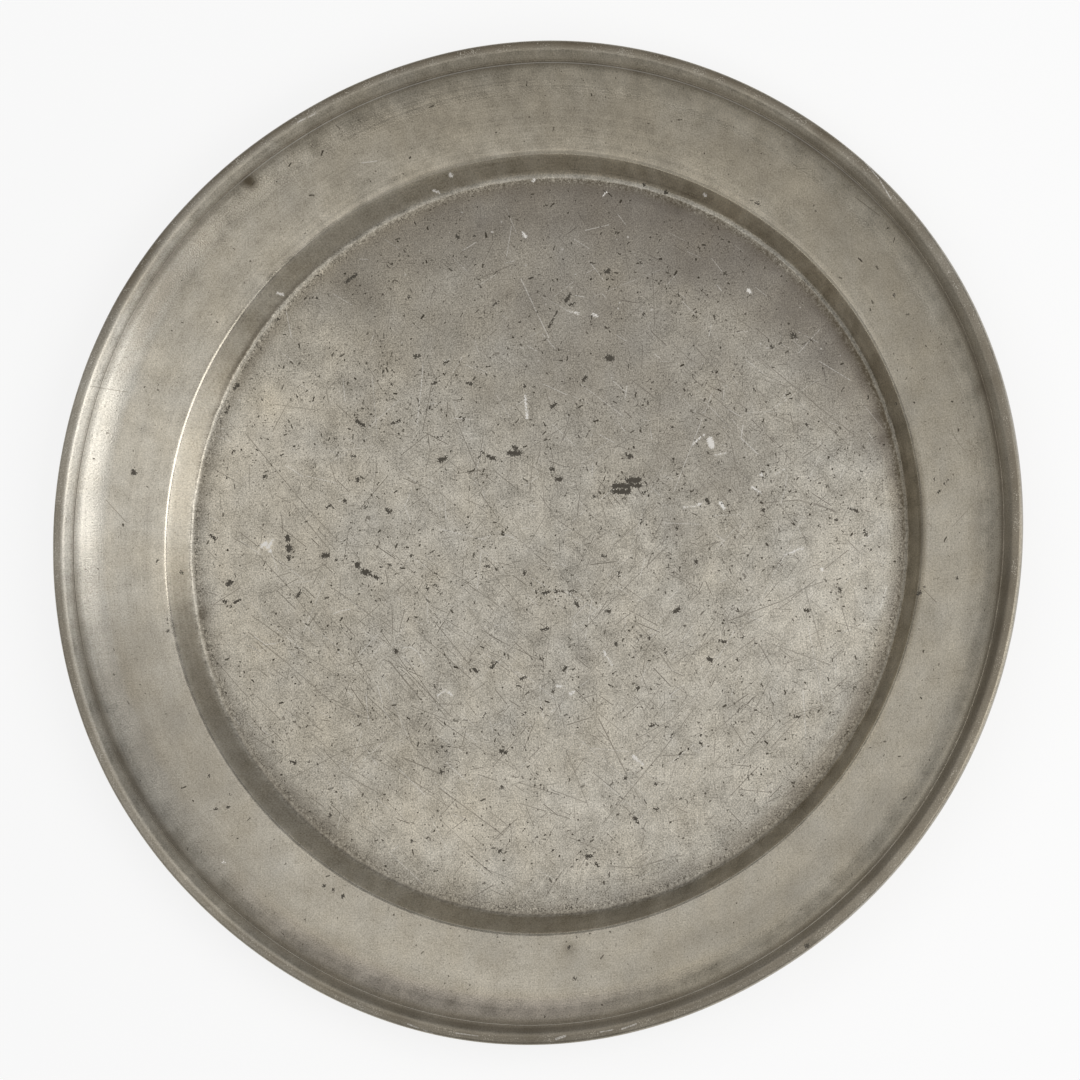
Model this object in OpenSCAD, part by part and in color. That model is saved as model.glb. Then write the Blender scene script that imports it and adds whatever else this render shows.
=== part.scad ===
// Broad-rimmed pewter dish: one casting, turned on a lathe, with a flat well, a short steep side (the booge)
// and a wide rim that sweeps up in a hollow (the cavetto) to a single rounded reed along its edge.
// Millimetres, +Z up. It lies on the flat underside of its well, with the origin at the middle of that face.

/* [Dish] */
// Diameter over the edge
dish_d = 457; // [320:1:600]
// Thickness of the metal
metal_t = 2; // [1.6:0.1:3]

/* [Booge] */
// Height of the rim's inner edge above the floor of the well
booge_rise = 11.6; // [8:0.1:20]
// How far the booge leans out over that height
booge_run = 8.8; // [5:0.1:16]
// Radius where the booge rises from the floor of the well
foot_fillet = 3; // [1:0.1:6]
// Radius under the shoulder, where the booge turns out into the rim
shoulder_fillet = 1; // [0.5:0.1:4]

/* [Rim] */
// Width of the rim from its shoulder to the edge
rim_w = 49.4; // [40:0.1:70]
// Upward slope of the rim, in degrees
rim_slope = 13.5; // [6:0.5:18]
// Radius of the cavetto, in which the rim sweeps up to the reed
cavetto_r = 30; // [20:0.5:40]
// Width of the band under the edge, where the underside flares up to it
flare_w = 20; // [16:0.1:26]
// Radius that eases the underside into that band
flare_round = 30; // [10:0.5:40]

/* [Reed] */
// Width of the reed from its turned line to the edge
reed_w = 8.8; // [8.2:0.1:13]
// Slope of the reed's inner side, in degrees
reed_slope = 42; // [36:1:54]
// Radius of the reed's back
reed_round = 3.7; // [2.5:0.1:5]
// Width of the flat that wear has left along the crest
crest_flat = 2.1; // [0.4:0.1:3]
// Radius of the edge, above and below
edge_round = 1.2; // [0.8:0.1:1.9]
// Height of the edge from the crest to its underside
edge_h = 4.2; // [4:0.1:6]
// Width of the turned line at the foot of the reed, cut half as deep
line_w = 0.8; // [0.4:0.1:1]
// Straight slope left between the cavetto and the turned line
line_gap = 0.8; // [0.5:0.1:1.5]

/* [Hidden] */
$fn = 240;

// How far a cut that rounds a corner runs past the corner, and how far its arc bites past a tangent side
overlap = 0.2;
bite = 0.002;

// Radii and heights that follow from the sizes above
edge_r = dish_d / 2;
shoulder_r = edge_r - rim_w;
foot_r = shoulder_r - booge_run;
line_r = edge_r - reed_w;
floor_z = metal_t;
shoulder_z = floor_z + booge_rise;

// Height of the straight part of the rim, carried on to any radius
function rim_z(r) = shoulder_z + (r - shoulder_r) * tan(rim_slope);

// The cavetto ends just inside the turned line, so that the line is cut in a straight slope
cavetto_reach = cavetto_r * tan((reed_slope - rim_slope) / 2);
cavetto_corner_r = line_r - (cavetto_reach + line_gap + line_w / 2) * cos(reed_slope);

// Height of the reed's inner side, carried on to any radius
function reed_z(r) = rim_z(cavetto_corner_r) + (r - cavetto_corner_r) * tan(reed_slope);

// The reed's back and the edge are two arcs with the worn flat between them
reed_corner_r = edge_r - edge_round - crest_flat - reed_round * tan(reed_slope / 2);
crest_z = reed_z(reed_corner_r);
flare_start_r = edge_r - flare_w;

// Sharp corners of the section, over the top from the middle to the edge and back underneath
function unit(v) = v / norm(v);
function right_of(v) = [v.y, -v.x];

// The corner that lies the thickness of the metal below the corner `at`
function below(before, at, after) =
    let (n = right_of(unit(at - before)), m = right_of(unit(after - at)))
    at + metal_t * (n + m) / (1 + n * m);

foot = [foot_r, floor_z];
shoulder = [shoulder_r, shoulder_z];
cavetto = [cavetto_corner_r, rim_z(cavetto_corner_r)];
reed = [reed_corner_r, crest_z];
edge_top = [edge_r, crest_z];
edge_under = [edge_r, crest_z - edge_h];
flare = [flare_start_r, rim_z(flare_start_r) - metal_t / cos(rim_slope)];
shoulder_under = below(foot, shoulder, cavetto);
foot_under = below([0, floor_z], foot, shoulder);

// Each corner with the radius that rounds it; those over and under one bend share a centre
corners = [
    [[0, 0], 0],
    [[0, floor_z], 0],
    [foot, foot_fillet],
    [shoulder, shoulder_fillet + metal_t],
    [cavetto, cavetto_r],
    [reed, reed_round],
    [edge_top, edge_round],
    [edge_under, edge_round],
    [flare, flare_round],
    [shoulder_under, shoulder_fillet],
    [foot_under, foot_fillet + metal_t]
];
last_corner = len(corners) - 1;
function corner(i) = corners[(i + len(corners)) % len(corners)][0];
function radius(i) = corners[i][1];
function back(i) = unit(corner(i - 1) - corner(i));
function ahead(i) = unit(corner(i + 1) - corner(i));
function opening(i) = acos(back(i) * ahead(i));

// Where the arc at corner i leaves the side behind it and joins the side ahead, and the arc's centre
function arc_start(i) = corner(i) + back(i) * radius(i) / tan(opening(i) / 2);
function arc_end(i) = corner(i) + ahead(i) * radius(i) / tan(opening(i) / 2);
function inwards(i) = unit(back(i) + ahead(i));
function arc_centre(i) = corner(i) + inwards(i) * radius(i) / sin(opening(i) / 2);

// A hollow corner is one that the metal bends round, such as the cavetto
function hollow(i) = radius(i) > 0 && cross(ahead(i), back(i)) > 0;

// The metal between an outward corner and the arc that rounds it
module corner_waste(i) {
    difference() {
        polygon([arc_start(i), corner(i) - inwards(i) * overlap, arc_end(i)]);
        translate(arc_centre(i)) circle(r = radius(i) + bite);
    }
}

// Half of the dish's section: the corners are bridged or left sharp, then cut to their arcs
module section() {
    difference() {
        polygon([for (i = [0:last_corner]) each hollow(i) ? [arc_start(i), arc_end(i)] : [corner(i)]]);
        for (i = [0:last_corner]) {
            if (hollow(i)) translate(arc_centre(i)) circle(r = radius(i) + bite);
            else if (radius(i) > 0) corner_waste(i);
        }
        translate([line_r, reed_z(line_r)]) circle(r = line_w / 2);
    }
}

module dish() {
    color([0.63, 0.60, 0.55]) rotate_extrude() section();
}

dish();
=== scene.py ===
import math

import bpy
import numpy as np
from mathutils import Matrix, Vector


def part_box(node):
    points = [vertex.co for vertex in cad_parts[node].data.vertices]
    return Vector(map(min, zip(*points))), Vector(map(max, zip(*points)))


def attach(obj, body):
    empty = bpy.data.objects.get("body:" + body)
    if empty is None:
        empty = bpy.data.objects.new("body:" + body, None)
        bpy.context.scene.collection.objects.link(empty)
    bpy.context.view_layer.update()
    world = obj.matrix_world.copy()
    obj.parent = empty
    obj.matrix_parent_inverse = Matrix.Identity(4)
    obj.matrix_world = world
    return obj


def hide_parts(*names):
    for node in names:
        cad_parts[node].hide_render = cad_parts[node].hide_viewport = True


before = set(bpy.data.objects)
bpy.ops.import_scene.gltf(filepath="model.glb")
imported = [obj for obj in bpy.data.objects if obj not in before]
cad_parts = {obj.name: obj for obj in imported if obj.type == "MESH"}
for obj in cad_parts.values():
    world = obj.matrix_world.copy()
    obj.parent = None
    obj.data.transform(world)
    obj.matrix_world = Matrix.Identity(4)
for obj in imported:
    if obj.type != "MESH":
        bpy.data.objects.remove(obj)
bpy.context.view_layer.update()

# Metres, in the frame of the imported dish: it lies on its base, +Z is up and X points right in the picture.
MM = 0.001
edge_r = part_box("dish")[1].x
PICTURE = 1080

# Section of the dish
metal_t = 2 * MM
booge_rise = 11.6 * MM
booge_run = 8.8 * MM
foot_fillet = 3 * MM
shoulder_fillet = 1 * MM
rim_w = 49.4 * MM
rim_slope = math.radians(13.5)
cavetto_r = 30 * MM
flare_w = 20 * MM
flare_round = 30 * MM
reed_w = 8.8 * MM
reed_slope = math.radians(42)
reed_round = 3.7 * MM
crest_flat = 2.1 * MM
edge_round = 1.2 * MM
edge_h = 4.2 * MM
line_w = 0.8 * MM
line_gap = 0.8 * MM
line_lip = 0.08 * MM

# Radii and heights that follow from them
shoulder_r = edge_r - rim_w
foot_r = shoulder_r - booge_run
line_r = edge_r - reed_w
shoulder_z = metal_t + booge_rise
cavetto_reach = cavetto_r * math.tan((reed_slope - rim_slope) / 2)
cavetto_corner_r = line_r - (cavetto_reach + line_gap + line_w / 2) * math.cos(reed_slope)
reed_corner_r = edge_r - edge_round - crest_flat - reed_round * math.tan(reed_slope / 2)
flare_r = edge_r - flare_w

# Steps of the mesh along the section: the most that an arc turns and runs, and the most on straight stretches
ARC_STEP = math.radians(15)
ARC_GAP = 1.5 * MM
UPPER_GAP = 2.4 * MM
UNDER_GAP = 7 * MM

# Camera, from the place and size of the edge in the picture
TILT = math.radians(15.95)
TURN = math.radians(18.06)
EDGE_PIXEL = (528.6, 538.0)
EDGE_PIXELS = 502.3
EDGE_Z = 28.8 * MM
DISTANCE = 12 * edge_r
SENSOR = 36
VIEW_END = 100

# Rounds in which a pixel's ray settles on the upper surface
SPOT_ROUNDS = 6


def rim_z(r):
    """Height of the straight part of the rim, carried on to any radius."""
    return shoulder_z + (r - shoulder_r) * math.tan(rim_slope)


def reed_z(r):
    """Height of the reed's inner side, carried on to any radius."""
    return rim_z(cavetto_corner_r) + (r - cavetto_corner_r) * math.tan(reed_slope)


def below(before, at, after):
    """The corner that lies the thickness of the metal below the corner `at`."""
    sides = [(at - before).normalized(), (after - at).normalized()]
    n, m = [Vector((side.y, -side.x)) for side in sides]
    return at + metal_t * (n + m) / (1 + n.dot(m))


def section_corners():
    """Corners of the half section with their radii, over the top to the edge and back underneath."""
    foot = Vector((foot_r, metal_t))
    shoulder = Vector((shoulder_r, shoulder_z))
    cavetto = Vector((cavetto_corner_r, rim_z(cavetto_corner_r)))
    crest_z = reed_z(reed_corner_r)
    along = Vector((math.cos(reed_slope), math.sin(reed_slope))) * line_w / 2
    into = Vector((along.y, -along.x))
    line = Vector((line_r, reed_z(line_r)))
    flare = Vector((flare_r, rim_z(flare_r) - metal_t / math.cos(rim_slope)))
    over = [
        (Vector((0, metal_t)), 0),
        (foot, foot_fillet),
        (shoulder, shoulder_fillet + metal_t),
        (cavetto, cavetto_r),
        (line - along, line_lip),
        (line - along + into, line_w / 2 - line_lip),
        (line + along + into, line_w / 2 - line_lip),
        (line + along, line_lip),
        (Vector((reed_corner_r, crest_z)), reed_round),
        (Vector((edge_r, crest_z)), edge_round),
    ]
    under = [
        (Vector((edge_r, crest_z - edge_h)), edge_round),
        (flare, flare_round),
        (below(foot, shoulder, cavetto), shoulder_fillet),
        (below(Vector((0, metal_t)), foot, shoulder), foot_fillet + metal_t),
        (Vector((0, 0)), 0),
    ]
    return over + under, len(over)


def arc(before, at, after, radius):
    """Points of the arc that rounds the corner `at`, or the corner itself where it has no radius."""
    if radius == 0:
        return [at]
    back = (before - at).normalized()
    ahead = (after - at).normalized()
    half = back.angle(ahead) / 2
    start = at + back * radius / math.tan(half)
    centre = at + (back + ahead).normalized() * radius / math.sin(half)
    turn = math.pi - 2 * half
    if back.cross(ahead) > 0:
        turn = -turn
    count = max(2, math.ceil(max(abs(turn) / ARC_STEP, abs(turn) * radius / ARC_GAP)))
    return [centre + Matrix.Rotation(turn * i / count, 2) @ (start - centre) for i in range(count + 1)]


def section():
    """Points of the half section with the longest gaps filled in, and how many of them lie over the top."""
    corners, over = section_corners()
    points, top = [], 0
    for i, (at, radius) in enumerate(corners):
        before = corners[max(i - 1, 0)][0]
        after = corners[min(i + 1, len(corners) - 1)][0]
        bend = arc(before, at, after, radius)
        gap = UPPER_GAP if i < over else UNDER_GAP
        if points:
            start = points[-1]
            count = max(1, math.ceil((bend[0] - start).length / gap))
            points += [start.lerp(bend[0], k / count) for k in range(1, count)]
        points += bend
        if i == over - 1:
            top = len(points)
    return points, top


profile, top_count = section()
run = np.cumsum([0] + [(b - a).length for a, b in zip(profile, profile[1:])])
over_r = np.array([p.x for p in profile[:top_count]])
over_z = np.array([p.y for p in profile[:top_count]])
edge_run = float(run[top_count - 1])


def camera_axes():
    """The camera looks straight down, then leans towards the right and a little towards the front."""
    turn = Matrix.Rotation(TILT, 3, Vector((math.sin(TURN), math.cos(TURN), 0)))
    return turn.col[0], turn.col[1], turn.col[2]


def camera_place():
    """Where the camera stands, so that the edge's middle is at its pixel."""
    right, up, back = camera_axes()
    pixel = edge_r / EDGE_PIXELS
    aside = right * (PICTURE / 2 - EDGE_PIXEL[0]) - up * (PICTURE / 2 - EDGE_PIXEL[1])
    return Vector((0, 0, EDGE_Z)) + back * DISTANCE + aside * pixel


def make_camera():
    right, up, back = camera_axes()
    data = bpy.data.cameras.new("camera")
    data.sensor_width = SENSOR
    data.lens = EDGE_PIXELS * DISTANCE / edge_r / PICTURE * SENSOR
    data.clip_end = VIEW_END
    camera = bpy.data.objects.new("camera", data)
    camera.matrix_world = Matrix.Translation(camera_place()) @ Matrix((right, up, back)).transposed().to_4x4()
    bpy.context.scene.collection.objects.link(camera)
    bpy.context.scene.camera = camera


def spot(x, y):
    """The point of the upper surface that shows at a pixel of the picture."""
    right, up, back = camera_axes()
    depth = EDGE_PIXELS * DISTANCE / edge_r
    ray = right * (x - PICTURE / 2) - up * (y - PICTURE / 2) - back * depth
    start = camera_place()
    z = metal_t
    for _ in range(SPOT_ROUNDS):
        point = start + ray * ((z - start.z) / ray.z)
        z = float(np.interp(point.xy.length, over_r, over_z))
    return Vector((point.x, point.y, z))


# Points in a ring of the mesh: the most, the fewest, the least spacing over and under the dish, and how many
# rings below the edge are as fine as those above it
SEGMENTS = 640
FEWEST = 10
UPPER_SPACING = 1 * MM
UNDER_SPACING = 2 * MM
EDGE_RINGS = 4

# Waves round the edge: how many, their height in millimetres and their phase in degrees
OUT_OF_ROUND = ((3, 0.81, 115), (4, 0.21, -9), (6, 0.40, 170))

# Waviness of the upper side, and of the hammered line at the foot of the booge
WAVINESS = 0.07 * MM
HAMMERED = 0.08 * MM

# Nicks in the reed: pixel of the picture, reach and depth in millimetres
NICKS = ((812, 128, 2.4, 0.5), (895, 190, 2.0, 0.4), (807, 945, 2.2, 0.5), (556, 1038, 3.0, 0.25))

# Discs of the map for the upper side and the underside: middle across, middle up and radius
UPPER_DISC = (0.40, 0.60, 0.39)
UNDER_DISC = (0.82, 0.18, 0.17)

# Radii between which the look of the well gives way to that of the booge, in millimetres
WELL_IN = 168.2
WELL_OUT = 169.6

# Soft stains and broad patches of painted shade, above 0, and rubbed places and patches of painted light,
# below 0:
# pixel of the middle, reach in millimetres and how much
STAINS_AND_PAINTED_LIGHT = (
    (545, 215, 40, 0.10), (660, 225, 40, 0.08), (430, 235, 38, 0.10), (350, 290, 35, 0.10),
    (590, 320, 60, 0.10), (710, 470, 36, 0.24), (590, 400, 45, 0.11), (576, 566, 18, 0.14),
    (760, 560, 22, 0.06), (890, 430, 12, 0.12), (300, 690, 40, 0.06), (300, 635, 9, 0.08),
    (245, 440, 20, -0.14), (206, 555, 8, -0.2), (480, 820, 40, -0.16), (620, 850, 48, -0.18),
    (680, 700, 32, -0.14), (822, 610, 26, -0.22), (730, 790, 30, -0.06), (886, 560, 10, -0.14),
    (420, 840, 26, -0.12), (517, 722, 8, 0.2), (416, 732, 9, 0.2), (443, 749, 4, 0.2),
    (446, 768, 4.5, 0.18), (540, 630, 10, 0.1), (586, 660, 6, 0.14), (268, 545, 4, -0.5),
    (677, 528, 5, 0.16), (528, 580, 7, 0.22), (584, 683, 4.5, 0.42), (683, 572, 7, 0.2), (582, 652, 6, 0.2),
    (538, 642, 5, 0.22), (690, 270, 7, 0.12), (105, 655, 32, 0.24), (170, 740, 42, 0.28),
    (215, 830, 40, 0.12), (850, 250, 60, 0.13), (930, 380, 34, 0.1), (500, 112, 60, 0.08),
    (162, 290, 22, 0.22), (110, 430, 26, -0.12), (300, 920, 40, 0.06), (880, 830, 50, 0.08),
    (250, 182, 3.3, 1.15), (202, 614, 3.5, 0.45), (192, 275, 4, 0.12), (186, 330, 5, 0.1),
    (828, 231, 8, 0.12), (348, 282, 9, 0.22), (372, 300, 8, 0.16), (325, 333, 7, -0.14),
    (300, 345, 6, 0.12), (930, 617, 5, 0.1), (880, 845, 5, 0.1), (945, 480, 4, 0.14), (638, 74, 4, 0.22),
    (450, 1000, 2.6, 0.34), (490, 1004, 3.2, 0.26), (569, 947, 3.2, 0.4), (977, 389, 3.2, 0.35),
    (145, 429, 3, 0.25), (880, 440, 3, 0.3), (893, 473, 3, 0.25), (876, 416, 3, 0.2),
)

# Bands of grime and painted shade, above 0, and of rubbed metal and painted highlights, below 0: the inner
# and outer radius and the ease at these in millimetres, the middle and half the width of a sector in degrees,
# how much
ALL_ROUND = 360
SECTOR_EASE = 18
GRIME_AND_PAINTED_LIGHT = (
    # Well
    (152, 169, 3, 28, 14, 0.1), (130, 160, 8, 92, 14, -0.08), (128, 160, 6, 120, 10, -0.1),
    (125, 160, 10, 152, 10, -0.26), (150, 165, 4, 180, 12, -0.12), (125, 160, 8, 208, 14, -0.1),
    (100, 130, 10, 240, 8, 0.12), (130, 160, 8, 285, 20, 0.13), (157, 169, 2.5, 285, 62, 0.17),
    (60, 130, 15, 312, 18, 0.09),
    # Foot of the booge
    (168.4, 170.2, 0.5, 15, 26, 0.32), (169.5, 172, 0.5, 60, 12, -0.2), (162, 168.4, 1.5, 70, 40, 0.1),
    (169.4, 171.2, 0.5, 78, 26, -0.5), (166.8, 169, 0.4, 78, 26, 0.18), (168.2, 170.6, 0.6, 118, 14, -0.08),
    (170.2, 172, 0.5, 125, 10, 0.2), (170.2, 172, 0.5, 148, 12, 0.75), (168, 169.8, 0.5, 150, 8, -0.3),
    (163, 168.4, 1.5, 265, 10, -0.16), (168.6, 171.6, 0.6, 270, 65, 0.1), (170, 172, 0.5, 325, 18, -0.3),
    # Booge
    (171.5, 178.5, 0.8, 0, 8, 0.18), (171.5, 178.5, 0.8, 48, 25, -0.4), (171.5, 178.5, 0.8, 135, 20, 0.13),
    (171.5, 178.5, 0.8, 180, 10, -0.14), (171.5, 178.5, 0.8, 208, 24, 0.36),
    (171.5, 178.5, 0.8, 275, 25, 0.13),
    # Shoulder
    (178.2, 180.6, 0.5, 0, 10, 0.6), (178.8, 180.4, 0.4, 75, 52, -0.62), (180.8, 182.4, 0.4, 78, 55, 0.08),
    (180.3, 182.4, 0.5, 122, 14, 0.16), (178.2, 180.6, 0.5, 150, 8, 0.24),
    (178.2, 180.6, 0.5, 180, 10, -0.15), (178.2, 180.6, 0.5, 330, 6, -0.3),
    # Rim
    (183, 206, 3, 72, 16, 0.06), (181.5, 186, 1.2, 80, 60, -0.06), (192, 209, 4, 80, 60, 0.16),
    (198, 206, 2, 150, 12, -0.1), (180, 186, 2, 180, 20, -0.1), (180, 196, 2, 275, 26, 0.07),
    (195, 208, 3, 300, 16, 0.23),
    # Cavetto and turned line
    (203, 218.5, 1.5, 0, 18, 0.16), (213.6, 217.4, 1, 22, 45, 0.2), (208, 217, 2, 35, 62, -0.34),
    (207, 212, 1.5, 150, 10, 0.1), (211, 217, 1.5, 150, 8, 0.4), (200, 217, 3, 180, 8, -0.12),
    (202, 211, 2, 225, 32, 0.14), (208, 217, 2, 270, 12, -0.1), (206, 218, 2, 315, 18, -0.1),
    (215.5, 218.9, 0.8, 330, 10, -0.3), (211.5, 216.8, 1.5, 350, 12, 0.14),
    # Reed
    (217.6, 220.4, 1.4, 0, ALL_ROUND, 0.5), (218.8, 220, 0.3, 0, 26, 0.25),
    (221.6, 224.6, 0.5, 0, 14, 0.16), (220.2, 224.4, 0.7, 14, 34, 0.36), (220.3, 222.2, 0.4, 58, 16, 0.3),
    (216, 219, 1, 75, 30, 0.12), (221.5, 224.4, 0.6, 150, 8, 0.2), (219, 222, 0.7, 150, 10, -0.3),
    (216, 219, 1, 172, 25, -0.25), (220.2, 223, 0.5, 262, 28, 0.15), (220.5, 224.4, 0.7, 298, 57, 0.55),
    # Crest and edge
    (224.4, 227.7, 0.6, 0, ALL_ROUND, 0.48), (224.4, 227.7, 0.6, 0, 24, 0.28),
    (226.2, 230, 0.4, 95, 55, 0.3), (224.6, 227.7, 0.5, 100, 55, 0.12), (224.4, 227.7, 0.6, 212, 14, -0.16),
    (225.8, 227.7, 0.4, 228, 22, -0.22), (227.3, 230, 0.3, 268, 12, 0.3),
    (224.4, 226.2, 0.6, 275, 36, 0.24), (227.4, 230, 0.3, 325, 62, 0.2),
)

# Bands in which the metal looks warmer, above 0, or cooler, below 0, written the same way
TINTS = (
    # Well
    (0, 171, 1, 0, ALL_ROUND, 0.30), (100, 171, 20, 0, 30, -0.08), (100, 171, 20, 190, 75, 0.2),
    # Foot of the booge
    (164, 169, 1.5, 125, 35, 0.3), (162, 172, 1.5, 345, 40, 0.35),
    # Booge
    (171, 178.5, 1, 0, ALL_ROUND, 0.45), (171, 178.5, 1, 45, 60, 0.5), (171, 178.5, 1, 224, 24, -0.5),
    # Shoulder
    (178, 180.8, 0.5, 345, 30, 0.4),
    # Rim
    (178.5, 230, 1, 0, ALL_ROUND, 0.42), (178.5, 230, 1, 32, 12, -0.22), (178.5, 230, 1, 68, 54, 0.5),
    (178.5, 230, 1, 138, 10, 0.25), (178.5, 230, 1, 270, 40, 0.13), (178.5, 230, 1, 345, 30, 0.2),
    # Cavetto and turned line
    (207, 224, 2, 176, 32, -0.4), (206, 220, 2, 210, 8, -0.5), (206, 220, 2, 272, 42, 0.4),
    # Crest and edge
    (224.4, 230, 0.5, 85, 75, -0.5),
)

# Broad sectors written the same way: painted shade on the far side of the well, how many millimetres the dark
# band at the foot of the booge reaches further out in front, and how dark that band is
FAR_SIDE_SHADE = ((0, 169, 0.7, 70, 50, 0.28), (0, 169, 0.7, 45, 30, 0.08))
FRONT_REACH = ((0, 230, 1, 270, 65, 1.5),)
FOOT_DARKENING = ((0, 180, 1, 0, ALL_ROUND, 0.42), (0, 180, 1, 20, 60, 0.1), (0, 180, 1, 90, 54, -0.38))

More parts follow.
